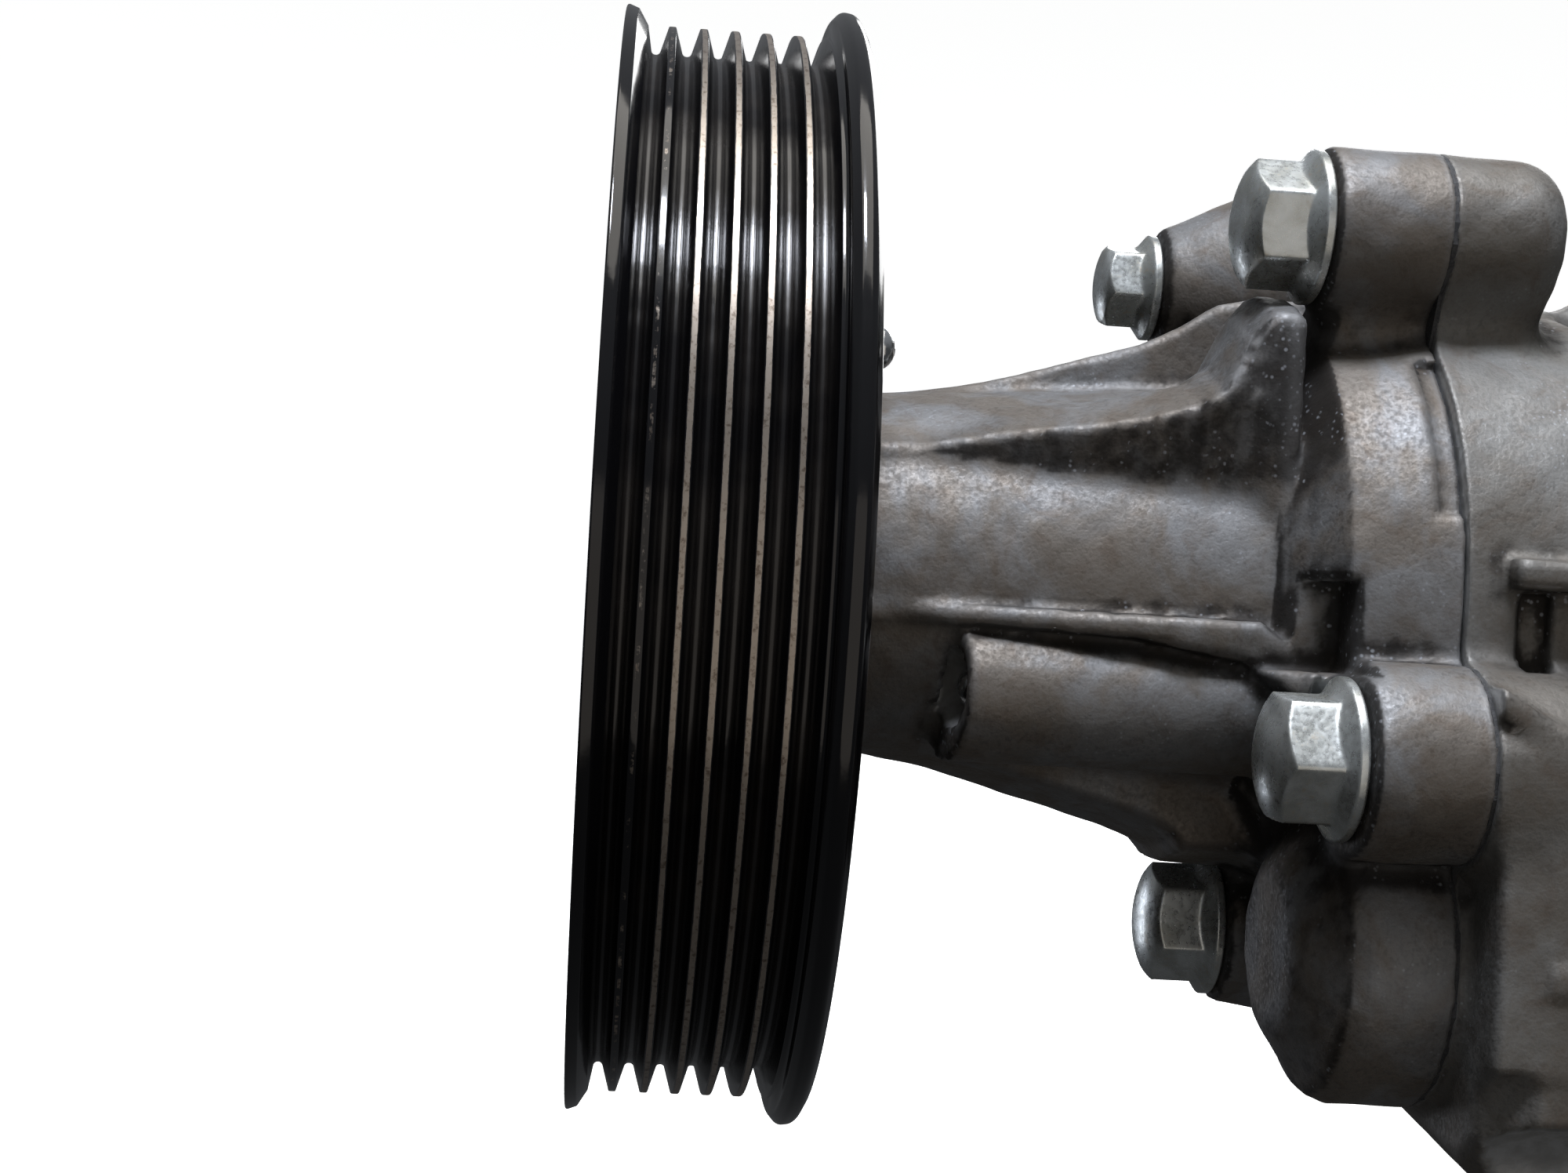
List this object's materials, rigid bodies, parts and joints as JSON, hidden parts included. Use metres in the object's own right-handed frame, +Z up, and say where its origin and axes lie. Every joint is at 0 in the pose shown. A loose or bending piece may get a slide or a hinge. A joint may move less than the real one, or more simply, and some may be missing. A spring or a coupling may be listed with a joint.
{
  "type": "coolant pump",
  "caption": "Belt-driven engine coolant pump: grooved pulley on a gusseted bearing housing, bolted to a volute body with inlet tube and outlet port.",
  "frame": {"origin": "where the shaft axis meets the machined face that bolts to the engine", "axes": "+X along the shaft, out of the mounting face towards the engine, with the pulley at the -X end; +Z up; the inlet tube points along +Y"},
  "size_m": [0.1316, 0.1352, 0.1432],
  "materials": {
    "pulley_coat": "black electrocoat, glossy, worn to bare steel on the crests",
    "bright_rivet": "bright",
    "machined_steel": "turned",
    "ground_steel": "ground",
    "zinc_plate": "zinc plated, satin",
    "front_casting": "as cast, weathered grey",
    "rear_casting": "as cast, weathered grey",
    "impeller_casting": "as cast",
    "seal_rubber": "moulded",
    "seal_brass": "drawn",
    "seal_carbon": "lapped carbon",
    "seal_ceramic": "lapped ceramic",
    "gasket_sheet": "matte",
    "bearing_rows": "polished steel in a moulded cage",
    "tube_steel": "zinc plated"
  },
  "bodies": {
    "housing": {"bearing_housing": "front_casting", "pump_body": "rear_casting", "joint_gasket": "gasket_sheet", "bearing_ring": "ground_steel", "bearing_seal_front": "seal_rubber", "bearing_seal_rear": "seal_rubber", "weep_plug": "bright_rivet", "seal_cup": "seal_brass", "seal_bellows": "seal_rubber", "seal_carbon_ring": "seal_carbon", "locating_dowel_1": "ground_steel", "locating_dowel_2": "ground_steel", "housing_bolt_top": "zinc_plate", "housing_bolt_side": "zinc_plate", "housing_bolt_bottom": "zinc_plate", "housing_bolt_far": "zinc_plate", "housing_bolt_small": "zinc_plate", "inlet_tube": "tube_steel", "outlet_o_ring": "seal_rubber"},
    "rotor": {"pulley": "pulley_coat", "balance_rivet": "bright_rivet", "drive_hub": "machined_steel", "pulley_bolt_1": "zinc_plate", "pulley_bolt_2": "zinc_plate", "pulley_bolt_3": "zinc_plate", "pulley_bolt_4": "zinc_plate", "shaft": "ground_steel", "slinger": "seal_rubber", "seal_seat": "seal_ceramic", "impeller": "impeller_casting"},
    "ball_cage": {"ball_row": "bearing_rows"},
    "roller_cage": {"roller_row": "bearing_rows"}
  },
  "joints": [
    {"name": "rotor_spin", "type": "hinge", "parent": "housing", "child": "rotor", "pos_m": [-0.08, 0, 0], "axis": [1, 0, 0], "continuous": true},
    {"name": "ball_cage_spin", "type": "hinge", "parent": "housing", "child": "ball_cage", "pos_m": [-0.093, 0, 0], "axis": [1, 0, 0], "continuous": true},
    {"name": "roller_cage_spin", "type": "hinge", "parent": "housing", "child": "roller_cage", "pos_m": [-0.073, 0, 0], "axis": [1, 0, 0], "continuous": true}
  ],
  "couplings": [
    {"joint": "ball_cage_spin", "follows": "rotor_spin", "ratio": 0.384},
    {"joint": "roller_cage_spin", "follows": "rotor_spin", "ratio": 0.384}
  ]
}
